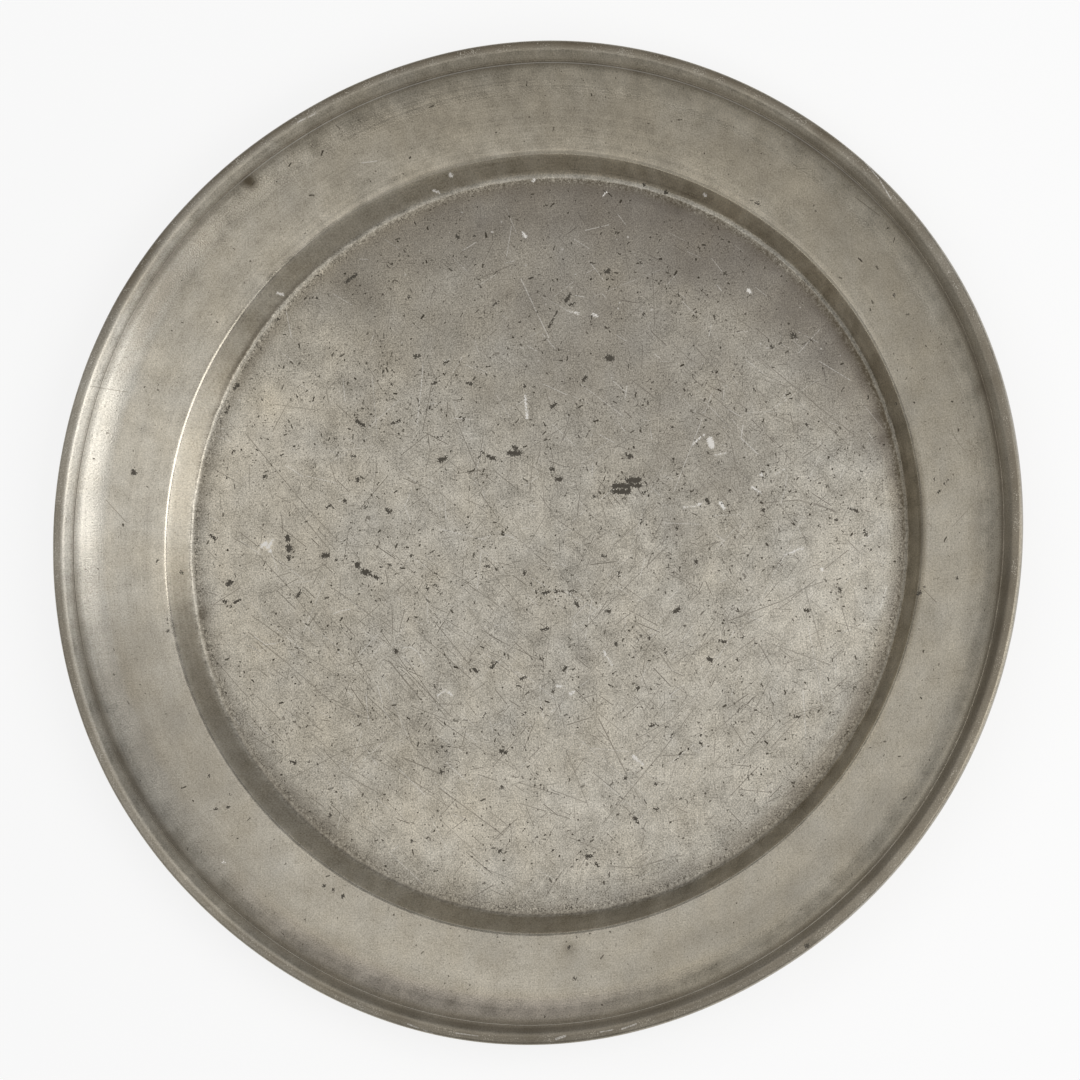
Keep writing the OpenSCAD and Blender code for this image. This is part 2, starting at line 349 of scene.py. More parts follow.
# Marks of long use, as paths over pixels of the picture: half the width in millimetres, then x and y in turn;
# flakes are drawn shorter than their paths, and chips thinner; dark tones are above 0 and pale ones below
FLAKE_REACH = 0.62
FLAKE_THICKNESS = 0.85
CHIP_THICKNESS = 0.75
FLAKE_TONE = 1
CHIP_TONE = -0.95
SCRATCH_TONE = 0.6
GLINT_TONE = -0.5
FLAKES = (
    (0.5, 934, 482, 935, 477), (0.4, 943, 485, 949, 479), (0.5, 937, 493, 941, 490),
    (0.8, 918, 594, 921, 592), (0.5, 924, 587), (0.6, 896, 403, 897, 406), (0.6, 167, 619), (0.5, 168, 624),
    (0.6, 168, 630, 168, 632), (0.6, 156, 564, 158, 559), (0.4, 181, 571, 182, 573),
    (0.6, 497, 934, 497, 937), (0.5, 568, 948, 570, 946), (0.4, 573, 978, 576, 979), (0.5, 544, 1017),
    (1.9, 611, 486, 633, 486), (1.9, 611, 491, 633, 491), (1.7, 624, 481, 642, 480),
    (1.6, 626, 485, 643, 485), (0.7, 641, 494, 648, 491), (0.6, 645, 482, 647, 485),
    (1.5, 506, 453, 522, 453), (1.3, 513, 447, 518, 450), (1.4, 486, 455, 496, 459),
    (0.9, 481, 451, 484, 454), (1.0, 438, 461, 448, 457), (0.8, 436, 438, 443, 436),
    (0.5, 430, 385, 441, 380), (1.2, 414, 357, 420, 356), (1.0, 493, 305, 498, 302),
    (0.9, 456, 235, 459, 239), (0.7, 474, 236), (1.4, 551, 408, 557, 403), (1.4, 552, 469),
    (0.9, 556, 479, 562, 480), (1.0, 525, 386), (0.9, 542, 353), (0.8, 520, 322), (0.8, 466, 383, 473, 384),
    (0.9, 443, 364, 449, 361), (0.9, 358, 477, 358, 482), (0.7, 350, 456, 357, 456),
    (0.8, 355, 420, 366, 427), (0.8, 390, 424, 402, 420), (1.1, 365, 507), (0.9, 386, 509, 389, 513),
    (1.0, 326, 508, 331, 505), (0.8, 264, 477), (1.0, 227, 478), (0.6, 233, 448, 235, 452),
    (0.5, 225, 415, 230, 404), (0.9, 234, 389, 239, 384), (0.8, 278, 319), (0.8, 317, 298),
    (0.7, 343, 284, 359, 272), (0.7, 409, 297), (0.6, 392, 384), (0.6, 383, 373), (0.8, 464, 419),
    (0.6, 450, 492), (0.6, 483, 494), (0.6, 321, 491), (0.7, 345, 501), (0.6, 253, 426),
    (0.9, 208, 534, 217, 540), (1.2, 287, 536, 288, 540), (1.5, 288, 546, 289, 550),
    (1.0, 289, 556, 289, 560), (1.3, 321, 556, 330, 555), (0.9, 336, 560), (1.4, 356, 563, 359, 567),
    (1.8, 362, 571, 370, 573), (0.7, 368, 574, 378, 578), (1.0, 373, 576, 379, 579), (0.9, 381, 567),
    (1.3, 228, 585, 231, 581), (0.9, 223, 601, 227, 602), (0.7, 234, 603, 241, 599), (0.7, 231, 607),
    (0.9, 411, 556), (0.7, 399, 563), (0.7, 390, 565), (0.8, 485, 565, 490, 567), (0.8, 496, 569),
    (0.9, 524, 570, 524, 575), (0.9, 531, 584), (0.7, 556, 587), (0.7, 541, 594, 552, 591),
    (0.8, 552, 592, 566, 591), (0.6, 566, 592, 575, 590), (0.9, 540, 630, 550, 628),
    (0.8, 425, 583, 428, 592), (0.6, 434, 582, 442, 596), (1.1, 396, 651), (0.8, 383, 676),
    (0.9, 519, 680, 527, 676), (0.6, 515, 685, 522, 687), (0.9, 474, 669, 478, 672),
    (0.7, 490, 669, 498, 661), (0.8, 482, 719, 486, 712), (0.7, 521, 716, 527, 712),
    (1.0, 499, 751, 508, 753), (0.5, 437, 751), (0.5, 442, 747), (0.6, 446, 751), (0.4, 449, 746),
    (0.5, 445, 766), (0.4, 449, 771), (0.5, 442, 772), (0.8, 453, 790), (0.9, 502, 787),
    (1.0, 289, 761, 297, 763), (0.9, 309, 762), (0.8, 280, 741), (0.6, 296, 599, 302, 588), (0.8, 330, 815),
    (0.6, 334, 826), (0.7, 228, 807), (0.7, 216, 809), (0.5, 230, 794), (0.5, 209, 774, 209, 777),
    (0.7, 412, 841), (0.7, 383, 841), (0.9, 537, 837), (0.8, 553, 850), (0.9, 500, 851),
    (1.0, 696, 559, 696, 564), (1.4, 674, 612, 679, 609), (1.3, 605, 611, 611, 611), (0.9, 624, 613),
    (1.3, 575, 602, 579, 607), (1.0, 743, 637), (0.8, 756, 643), (1.1, 707, 658, 712, 661), (0.7, 718, 665),
    (0.8, 649, 638), (0.9, 650, 726, 655, 724), (0.7, 670, 738, 673, 733), (0.9, 701, 735),
    (0.9, 700, 742, 702, 746), (0.7, 795, 717, 799, 717), (0.8, 625, 778), (0.7, 656, 784),
    (0.9, 634, 816, 639, 824), (1.1, 586, 857, 592, 856), (1.0, 595, 863, 599, 867),
    (0.8, 847, 508, 858, 511), (0.8, 836, 520), (0.8, 794, 524), (0.9, 819, 526), (0.8, 864, 529, 867, 537),
    (0.8, 871, 550), (1.0, 763, 510), (1.0, 677, 528), (0.9, 653, 554), (0.7, 618, 578, 620, 571),
    (0.5, 601, 556, 608, 557), (0.8, 550, 569), (0.7, 641, 519, 641, 524), (0.9, 616, 644),
    (0.8, 718, 640, 726, 642), (0.7, 666, 653), (0.8, 737, 660), (0.7, 722, 691), (0.8, 638, 688),
    (0.7, 804, 610, 809, 611), (0.7, 840, 590), (0.8, 563, 672, 567, 666), (0.9, 553, 692), (0.8, 657, 809),
    (0.6, 685, 800), (0.5, 762, 769, 768, 769), (1.2, 629, 456, 632, 457), (1.5, 607, 358, 612, 359),
    (1.0, 583, 381, 586, 377), (0.9, 644, 314), (1.2, 772, 347), (1.5, 706, 499, 709, 504), (1.1, 677, 475),
    (0.8, 672, 427), (0.9, 706, 420), (0.8, 605, 272, 609, 270), (0.7, 641, 263), (0.7, 725, 273),
    (1.0, 644, 185), (0.9, 666, 192), (0.7, 755, 203, 760, 204), (0.7, 691, 395), (0.8, 807, 425),
    (0.9, 766, 476), (0.7, 775, 470), (0.9, 792, 334, 797, 338), (0.6, 754, 389), (0.5, 600, 296),
    (0.8, 572, 502), (0.8, 594, 497), (0.6, 713, 372), (0.6, 696, 357), (0.5, 894, 295),
    (0.6, 559, 307, 547, 331), (0.7, 572, 292, 565, 303), (0.8, 568, 306, 578, 302),
    (0.5, 543, 343, 546, 337), (1.3, 133, 471, 134, 474), (1.2, 324, 886), (1.2, 343, 896), (0.8, 333, 890),
    (0.9, 957, 578), (1.0, 807, 946),
)
CHIPS = (
    (1.6, 710, 440, 712, 446), (0.6, 704, 435), (0.4, 693, 444, 700, 437), (0.4, 716, 455, 726, 453),
    (1.1, 748, 290, 750, 292), (0.9, 652, 310), (0.6, 592, 314, 597, 316), (0.4, 565, 310, 578, 314),
    (0.6, 603, 196, 607, 192), (0.6, 559, 253, 562, 249), (0.8, 762, 475), (0.5, 776, 474, 784, 469),
    (0.4, 752, 487, 760, 492), (0.8, 698, 505, 702, 503), (0.4, 684, 507, 698, 506),
    (0.5, 720, 503, 724, 508), (0.5, 604, 652, 612, 665), (0.6, 557, 686, 561, 686),
    (0.6, 570, 694, 574, 692), (0.8, 822, 570), (0.5, 784, 555, 803, 548), (0.8, 278, 293, 282, 294),
    (0.8, 451, 175), (0.5, 434, 191, 438, 192), (0.6, 534, 180), (0.6, 523, 233, 526, 237),
    (0.5, 525, 396, 527, 417), (0.6, 438, 695, 446, 690), (0.5, 446, 690, 452, 695), (0.9, 224, 862),
    (0.6, 705, 195), (0.5, 634, 757, 643, 765), (1.2, 262, 546, 266, 543), (1.2, 268, 547, 271, 542),
    (0.8, 273, 540), (0.8, 270, 551), (0.6, 259, 550),
)
SCRATCHES = (
    (0.18, 251, 615, 283, 638), (0.2, 248, 632, 286, 662, 321, 694, 374, 719), (0.2, 293, 594, 321, 629),
    (0.16, 298, 651, 321, 665, 348, 682), (0.2, 296, 671, 333, 703, 365, 718), (0.34, 390, 662, 421, 700),
    (0.2, 406, 659, 436, 703, 446, 718), (0.2, 434, 621, 476, 673), (0.2, 418, 632, 471, 679),
    (0.2, 434, 704, 462, 704), (0.16, 292, 778, 345, 750, 386, 741), (0.26, 401, 757, 439, 773),
    (0.16, 368, 754, 439, 797), (0.26, 439, 788, 503, 835), (0.16, 424, 791, 448, 806),
    (0.16, 339, 771, 386, 797), (0.2, 306, 521, 330, 550), (0.16, 318, 529, 333, 547),
    (0.18, 293, 503, 309, 525), (0.18, 333, 588, 374, 618), (0.18, 259, 556, 292, 591),
    (0.16, 465, 582, 503, 609), (0.18, 480, 629, 506, 644), (0.18, 406, 723, 412, 744),
    (0.2, 396, 594, 408, 591), (0.18, 399, 632, 405, 609), (0.16, 353, 668, 356, 647),
    (0.28, 599, 719, 627, 775), (0.2, 566, 750, 588, 806), (0.22, 653, 644, 672, 671, 683, 676),
    (0.18, 640, 671, 649, 694), (0.16, 637, 697, 647, 718), (0.22, 659, 756, 696, 754),
    (0.2, 603, 823, 661, 753, 696, 706), (0.16, 711, 735, 758, 694),
    (0.22, 728, 621, 784, 600, 805, 588, 822, 582), (0.18, 772, 644, 831, 665), (0.18, 805, 588, 822, 650),
    (0.2, 818, 760, 844, 729), (0.16, 825, 703, 866, 676), (0.26, 759, 644, 771, 665),
    (0.22, 769, 691, 774, 712), (0.16, 581, 632, 663, 550), (0.2, 608, 866, 637, 868, 665, 859),
    (0.2, 569, 837, 599, 850), (0.18, 552, 790, 587, 803), (0.16, 631, 782, 640, 800),
    (0.2, 245, 433, 309, 510, 339, 542), (0.18, 453, 413, 477, 469, 495, 483), (0.16, 427, 425, 430, 451),
    (0.2, 403, 478, 430, 489), (0.2, 336, 404, 356, 422), (0.18, 495, 404, 518, 392),
    (0.18, 540, 495, 556, 519), (0.2, 622, 323, 663, 286), (0.2, 734, 316, 752, 329),
    (0.2, 758, 357, 819, 407, 858, 438), (0.28, 802, 392, 825, 413), (0.22, 712, 363, 722, 392),
    (0.2, 619, 454, 631, 460), (0.26, 763, 503, 799, 500, 837, 511), (0.18, 652, 442, 659, 463),
    (0.18, 716, 422, 734, 442), (0.2, 802, 458, 822, 445), (0.2, 731, 442, 740, 486),
    (0.2, 569, 278, 584, 292), (0.26, 813, 503, 836, 512), (0.18, 106, 500, 126, 522),
    (0.18, 90, 386, 128, 392), (0.2, 855, 197, 880, 216), (0.2, 922, 588, 936, 602),
    (0.16, 953, 434, 959, 444, 966, 452), (0.14, 952, 527, 974, 503), (0.24, 929, 523, 931, 526, 931, 531),
    (0.2, 186, 270, 190, 275, 193, 279), (0.2, 223, 292, 225, 298),
)
GLINTS = (
    (0.3, 403, 648, 411, 647, 418, 652, 424, 663), (0.2, 440, 529, 486, 540), (0.18, 481, 553, 477, 590),
    (0.18, 427, 597, 428, 623), (0.22, 333, 614, 340, 611, 350, 609), (0.2, 494, 725, 501, 723),
    (0.22, 521, 279, 529, 296, 537, 313, 549, 338), (0.22, 423, 363, 421, 389, 417, 425),
    (0.2, 343, 379, 345, 401), (0.18, 306, 476, 336, 483), (0.2, 462, 357, 453, 372),
    (0.2, 445, 501, 446, 519), (0.26, 743, 425, 741, 438, 758, 454), (0.22, 787, 475, 785, 490, 781, 503),
    (0.22, 627, 386, 625, 398), (0.22, 650, 428, 652, 439), (0.2, 711, 325, 709, 336),
    (0.22, 716, 535, 725, 541), (0.2, 803, 691, 806, 738), (0.22, 669, 696, 684, 685),
    (0.2, 808, 626, 824, 706), (0.2, 600, 500, 620, 484), (0.18, 585, 640, 592, 600),
    (0.3, 866, 163, 879, 179, 891, 199), (0.4, 408, 1024, 418, 1028), (0.3, 424, 1030, 433, 1033),
    (0.25, 456, 1033, 478, 1036), (0.6, 556, 1039, 565, 1036), (0.3, 600, 1032, 612, 1030),
    (0.4, 622, 1029, 636, 1024), (0.2, 362, 163, 377, 161), (0.24, 366, 694, 367, 708, 369, 724),
    (0.3, 298, 122, 306, 118), (0.25, 307, 118, 315, 114),
)

# Groups of fine scratches: how many, x, y and spread in millimetres, lean and its spread in degrees
HAIRLINES = (
    (210, -75, -60, 55, -40, 8), (130, 65, -75, 50, 46, 13), (90, 60, 80, 50, -38, 12),
    (520, 0, 0, 95, 0, 90),
)

# Scattered pits and pale specks: how many of each, and how many pits a cluster has
CLUSTERS = 170
CLUSTER_PITS = 8
WELL_PITS = 1700
RIM_PITS = 170
WELL_SPECKS = 180
FINE_PITS = 700


def ring_counts():
    """How many points each ring has: fewer towards the middle and underneath, at most twice the next."""
    counts = []
    for i, p in enumerate(profile):
        count = SEGMENTS if i < top_count + EDGE_RINGS else SEGMENTS // 2
        spacing = UPPER_SPACING if i < top_count else UNDER_SPACING
        while count > FEWEST and 2 * math.pi * p.x / count < spacing:
            count //= 2
        counts.append(count)
    for i in range(1, len(counts)):
        counts[i] = min(counts[i], 2 * counts[i - 1])
    for i in reversed(range(len(counts) - 1)):
        counts[i] = min(counts[i], 2 * counts[i + 1])
    return counts


def strip(a, na, b, nb):
    """Faces between two rings that start at a and b; one with twice as many points is met in threes."""
    if na == nb:
        return [(a + j, b + j, b + (j + 1) % nb, a + (j + 1) % na) for j in range(na)]
    faces = []
    for j in range(min(na, nb)):
        k = (j + 1) % min(na, nb)
        first, mid, last = 2 * j, 2 * j + 1, (2 * j + 2) % max(na, nb)
        if na < nb:
            faces += [(a + j, b + first, b + mid), (a + j, b + mid, a + k), (a + k, b + mid, b + last)]
        else:
            faces += [(b + j, a + mid, a + first), (b + j, b + k, a + mid), (b + k, a + last, a + mid)]
    return faces


def ring(r, z, count):
    """Points spaced evenly round a ring."""
    angle = np.arange(count) * 2 * math.pi / count
    return np.stack([r * np.cos(angle), r * np.sin(angle), np.full(count, z)], 1).tolist()


def lathe():
    """The dish as turned: points, their run along the section, faces, and how many of these are on top."""
    counts = ring_counts()
    points, along, faces, starts = [], [], [], []
    for i, p in enumerate(profile):
        starts.append(len(points))
        if p.x == 0:
            counts[i] = 1
        points += ring(p.x, p.y, counts[i])
        along += [run[i]] * counts[i]
    upper_faces = 0
    for i in range(len(profile) - 1):
        a, b, na, nb = starts[i], starts[i + 1], counts[i], counts[i + 1]
        if na == 1:
            faces += [(a, b + j, b + (j + 1) % nb) for j in range(nb)]
        elif nb == 1:
            faces += [(a + j, b, a + (j + 1) % na) for j in range(na)]
        else:
            faces += strip(a, na, b, nb)
        if i == top_count - 2:
            upper_faces = len(faces)
    return np.array(points), np.array(along), faces, upper_faces


def field(points, shortest, longest, seed):
    """A smooth random pattern across the dish, about zero, with waves between two lengths in millimetres."""
    chance = np.random.default_rng(seed)
    total = np.zeros(len(points))
    waves = 60
    for _ in range(waves):
        length = chance.uniform(shortest, longest) * MM
        turn, phase = chance.uniform(0, 2 * math.pi, 2)
        across = points[:, 0] * math.cos(turn) + points[:, 1] * math.sin(turn)
        total += np.sin(across * 2 * math.pi / length + phase)
    return total * math.sqrt(2 / waves)


def soft(value, low, high):
    """Goes smoothly from 0, where the value is low, to 1, where it is high."""
    share = np.clip((value - low) / (high - low), 0, 1)
    return share * share * (3 - 2 * share)


def worn(points, along):
    """Long use: the edge is out of round, the upper side is faintly wavy and the reed has a few nicks."""
    angle = np.arctan2(points[:, 1], points[:, 0])
    radius = np.hypot(points[:, 0], points[:, 1])
    upper = along <= edge_run
    points[:, 2] += upper * field(points, 25, 80, seed=7) * WAVINESS
    foot = soft(radius, 165 * MM, 168 * MM) * soft(radius, 174 * MM, 171 * MM)
    points[:, :2] *= (1 + foot * field(points, 6, 16, seed=9) * HAMMERED / foot_r)[:, None]
    for x, y, size, depth in NICKS:
        away = np.linalg.norm(points - np.array(spot(x, y)), axis=1)
        points[:, 2] -= upper * depth * MM * np.exp(-(away / (size * MM)) ** 2)
    out = sum(size * MM * np.cos(-k * angle + math.radians(phase)) for k, size, phase in OUT_OF_ROUND)
    points[:, :2] *= (1 + out / edge_r * (radius / edge_r) ** 3)[:, None]
    return points


def banded(points, along, rows):
    """Adds up bands with soft ends, as in the tables of shades and tints."""
    angle = np.degrees(np.arctan2(points[:, 1], points[:, 0]))
    radius = np.interp(along, run[:top_count], over_r) / MM
    total = np.zeros(len(points))
    for inner, outer, ease, middle, half, amount in rows:
        across = soft(radius, inner - ease, inner + ease) * soft(radius, outer + ease, outer - ease)
        away = np.abs((angle - middle + 180) % 360 - 180)
        total += amount * across * soft(away, half + SECTOR_EASE, half - SECTOR_EASE)
    return total


def stained_and_shaded(points, along):
    """How dark the metal is made: below 0 where it is rubbed bright and where highlights are painted, and
    towards 1, black, where grime has gathered and where shade is painted.
    """
    radius = np.interp(along, run[:top_count], over_r) / MM
    blotch = field(points, 9, 45, seed=3)
    inside = soft(radius, WELL_OUT, WELL_IN)
    in_front = banded(points, along, FRONT_REACH)
    corner = soft(radius + 0.2 * blotch, 160, 168) * soft(radius, 170 + in_front, 168.8 + in_front)
    far_side_shade = soft(radius, 125, 160) - 0.3 * soft(radius, 159, 166)
    # Bands of grime and painted shade, and of rubbed metal and painted highlights
    stain_and_shade = 0.035 * blotch + banded(points, along, GRIME_AND_PAINTED_LIGHT)
    # Painted shade and painted light in the well: darker towards its far side, lighter towards its near side,
    # and darker again in the far sectors
    stain_and_shade += inside * (0.3 * soft(points[:, 1], 0, 130 * MM) - 0.1)
    stain_and_shade += far_side_shade * banded(points, along, FAR_SIDE_SHADE)
    stain_and_shade += corner * banded(points, along, FOOT_DARKENING)
    # Stains, and broad patches of painted shade and painted light
    for x, y, size, amount in STAINS_AND_PAINTED_LIGHT:
        middle = spot(x, y)
        away = np.linalg.norm(points - np.array(middle), axis=1)
        zone = soft(radius, 170, 168.6) if middle.xy.length < foot_r else soft(radius, 178.5, 180)
        stain_and_shade += amount * zone * np.exp(-(away / (size * MM)) ** 2)
    return np.where(along <= edge_run, stain_and_shade, 0.25 + 0.08 * blotch)


def tinted(points, along):
    """How warm the metal looks, from 0 to 1."""
    return banded(points, along, TINTS) + 0.08 * field(points, 10, 60, seed=5)


def unwrap(mesh, points, along, upper_faces):
    """A map with the upper side as a large disc and the underside as a small one, true along the section."""
    index = np.empty(len(mesh.loops), dtype=np.int32)
    mesh.loops.foreach_get("vertex_index", index)
    upper = np.arange(len(index)) < mesh.polygons[upper_faces].loop_start
    share = np.where(upper, along[index] / edge_run, (run[-1] - along[index]) / (run[-1] - edge_run))
    angle = np.arctan2(points[index, 1], points[index, 0])
    across, up, size = np.where(upper[:, None], UPPER_DISC, UNDER_DISC).T
    u = across + np.where(upper, 1, -1) * size * share * np.cos(angle)
    v = up + size * share * np.sin(angle)
    mesh.uv_layers.new(name="OFBake").data.foreach_set("uv", np.stack([u, v], 1).ravel())


def paths(rows, tone, reach=1, thickness=1):
    """Strokes along paths of pixels, one for each stretch: place, reach, half the width and tone."""
    strokes = []
    for width, *pixels in rows:
        stops = [spot(x, y) for x, y in zip(pixels[::2], pixels[1::2])]
        for a, b in zip(stops, stops[1:] or stops):
            start = a.lerp(b, (1 - reach) / 2)
            line = (b - a) * reach
            strokes.append((start.x, start.y, line.x, line.y, width * thickness * MM, tone))
    return np.array(strokes)


def scattered(chance, count, inner, outer):
    """Places spread evenly over the ring between two radii in millimetres."""
    radius = np.sqrt(chance.uniform(inner ** 2, outer ** 2, count)) * MM
    angle = chance.uniform(0, 2 * math.pi, count)
    return np.stack([radius * np.cos(angle), radius * np.sin(angle)], 1)


def strokes_at(places, turn, length, width, tone):
    """Rows of strokes that start at places, written as those along paths are."""
    return np.column_stack([places, length * np.cos(turn), length * np.sin(turn), width, tone])


def pits():
    """Small pits, in clusters and single, in the well and on the rim, and pale specks high in the well."""
    chance = np.random.default_rng(11)
    clusters = np.repeat(scattered(chance, CLUSTERS, 0, 160), CLUSTER_PITS, axis=0)
    places = np.concatenate([
        clusters + chance.normal(0, 4 * MM, clusters.shape),
        scattered(chance, WELL_PITS, 0, 166),
        scattered(chance, RIM_PITS, 181, 216),
    ])
    specks = scattered(chance, WELL_SPECKS, 0, 164)
    specks = specks[specks[:, 1] > 20 * MM]
    sign = np.repeat([1, -1], [len(places), len(specks)])
    count = len(sign)
    width = 0.16 * MM * 3 ** chance.uniform(0, 1, count)
    length = np.where(sign > 0, 0.4, 0.15) * MM * np.minimum(np.exp(chance.normal(0, 1, count)), 5)
    turn = chance.uniform(0, math.pi, count)
    tone = np.where(sign > 0, 1, -0.5) * chance.uniform(0.5, 1, count)
    larger = strokes_at(np.concatenate([places, specks]), turn, length, width, tone)
    length = 0.2 * MM * np.exp(chance.normal(0, 0.8, FINE_PITS))
    width = 0.1 * MM * 2 ** chance.uniform(0, 1, FINE_PITS)
    places = scattered(chance, FINE_PITS, 180, 217)
    turn = chance.uniform(0, math.pi, FINE_PITS)
    tone = chance.uniform(0.35, 0.8, FINE_PITS)
    finer = strokes_at(places, turn, length, width, tone)
    return np.concatenate([larger, finer])


def hairlines(seed):
    """Fine scratches from cutting and scouring, in groups that each lean one way."""
    chance = np.random.default_rng(seed)
    groups = []
    for count, x, y, spread, turn, lean in HAIRLINES:
        places = np.array([x, y]) * MM + chance.normal(0, spread * MM, (count, 2))
        turns = np.radians(chance.normal(turn, lean, count))
        length = 8 * MM * np.exp(chance.normal(0, 0.6, count))
        width = chance.uniform(0.11, 0.19, count) * MM
        tone = np.where(chance.uniform(0, 1, count) < 0.75, 1, -0.7) * chance.uniform(0.3, 0.9, count)
        groups.append(strokes_at(places, turns, length, width, tone))
    lines = np.concatenate(groups)
    ends = lines[:, :2] + lines[:, 2:4]
    furthest = np.maximum(np.hypot(*lines[:, :2].T), np.hypot(*ends.T))
    return lines[furthest < foot_r - 2 * MM]


def nearest(places, strokes):
    """For each place, the stroke whose side is nearest."""
    least = np.full(len(places), np.inf)
    chosen = np.zeros(len(places), dtype=int)
    for i, (x, y, dx, dy, width, tone) in enumerate(strokes):
        aside, ahead = places[:, 0] - x, places[:, 1] - y
        share = np.clip((aside * dx + ahead * dy) / max(dx * dx + dy * dy, 1e-12), 0, 1)
        off = np.hypot(aside - share * dx, ahead - share * dy) - width
        chosen[off < least] = i
        least = np.minimum(off, least)
    return strokes[chosen]


def mark(mesh, upper_faces):
    """Gives each upper face the stroke that is nearest in each layer of marks."""
    flakes = paths(FLAKES, FLAKE_TONE, FLAKE_REACH, FLAKE_THICKNESS)
    chips = paths(CHIPS, CHIP_TONE, thickness=CHIP_THICKNESS)
    layers = {
        "marks": np.concatenate([flakes, chips]),
        "lines": np.concatenate([paths(SCRATCHES, SCRATCH_TONE), paths(GLINTS, GLINT_TONE)]),
        "pits": pits(),
        "hairs": hairlines(seed=12),
        "more_hairs": hairlines(seed=13),
    }
    centres = np.empty(len(mesh.polygons) * 3, dtype=np.float32)
    mesh.polygons.foreach_get("center", centres)
    centres = centres.reshape(-1, 3)[:upper_faces]
    for name, strokes in layers.items():
        found = np.zeros((len(mesh.polygons), 6), dtype=np.float32)
        found[:upper_faces] = nearest(centres, strokes)
        for part, columns in (("start", [0, 1, 4]), ("reach", [2, 3, 5])):
            attribute = mesh.attributes.new(f"{name}_{part}", "FLOAT_VECTOR", "FACE")
            attribute.data.foreach_set("vector", found[:, columns].ravel())


def make_dish():
    points, along, faces, upper_faces = lathe()
    values = {"along": along, "stain_and_shade": stained_and_shaded(points, along), "tint": tinted(points, along)}
    points = worn(points, along)
    mesh = bpy.data.meshes.new("pewter_dish")
    mesh.from_pydata(points.tolist(), [], faces)
    for name, value in values.items():
        mesh.attributes.new(name, "FLOAT", "POINT").data.foreach_set("value", value.astype(np.float32))
    mesh.polygons.foreach_set("use_smooth", [True] * len(mesh.polygons))
    unwrap(mesh, points, along, upper_faces)
    mark(mesh, upper_faces)
    dish = bpy.data.objects.new("pewter_dish", mesh)
    bpy.context.scene.collection.objects.link(dish)
    return dish


# Colours of the metal, of grime and painted shade, and of marks and painted highlights
COOL = (0.442, 0.417, 0.365, 1)
WARM = (0.467, 0.417, 0.328, 1)
MAUVE = (0.467, 0.417, 0.366, 1)
GRIME_AND_SHADE = (0.122, 0.100, 0.070, 1)
TARNISH_AND_SHADE = (0.122, 0.100, 0.081, 1)
FLAKE = (0.080, 0.069, 0.052, 1)
CHIP_AND_HIGHLIGHT = (0.82, 0.79, 0.74, 1)

# How fine the patterns in the metal are, per metre, how long streaks are for their width, and how they lean
MOTTLE_SCALE = 110
GRAIN_SCALE = 1500
CRUMB_SCALE = 640
DUST_SCALE = 620
RING_SCALE = 1800
RING_DRIFT = 2.5
STREAK_SCALE = 1300
STREAK_LENGTH = 14
SCOUR_TURNS = (-42, 8, 52, 97)


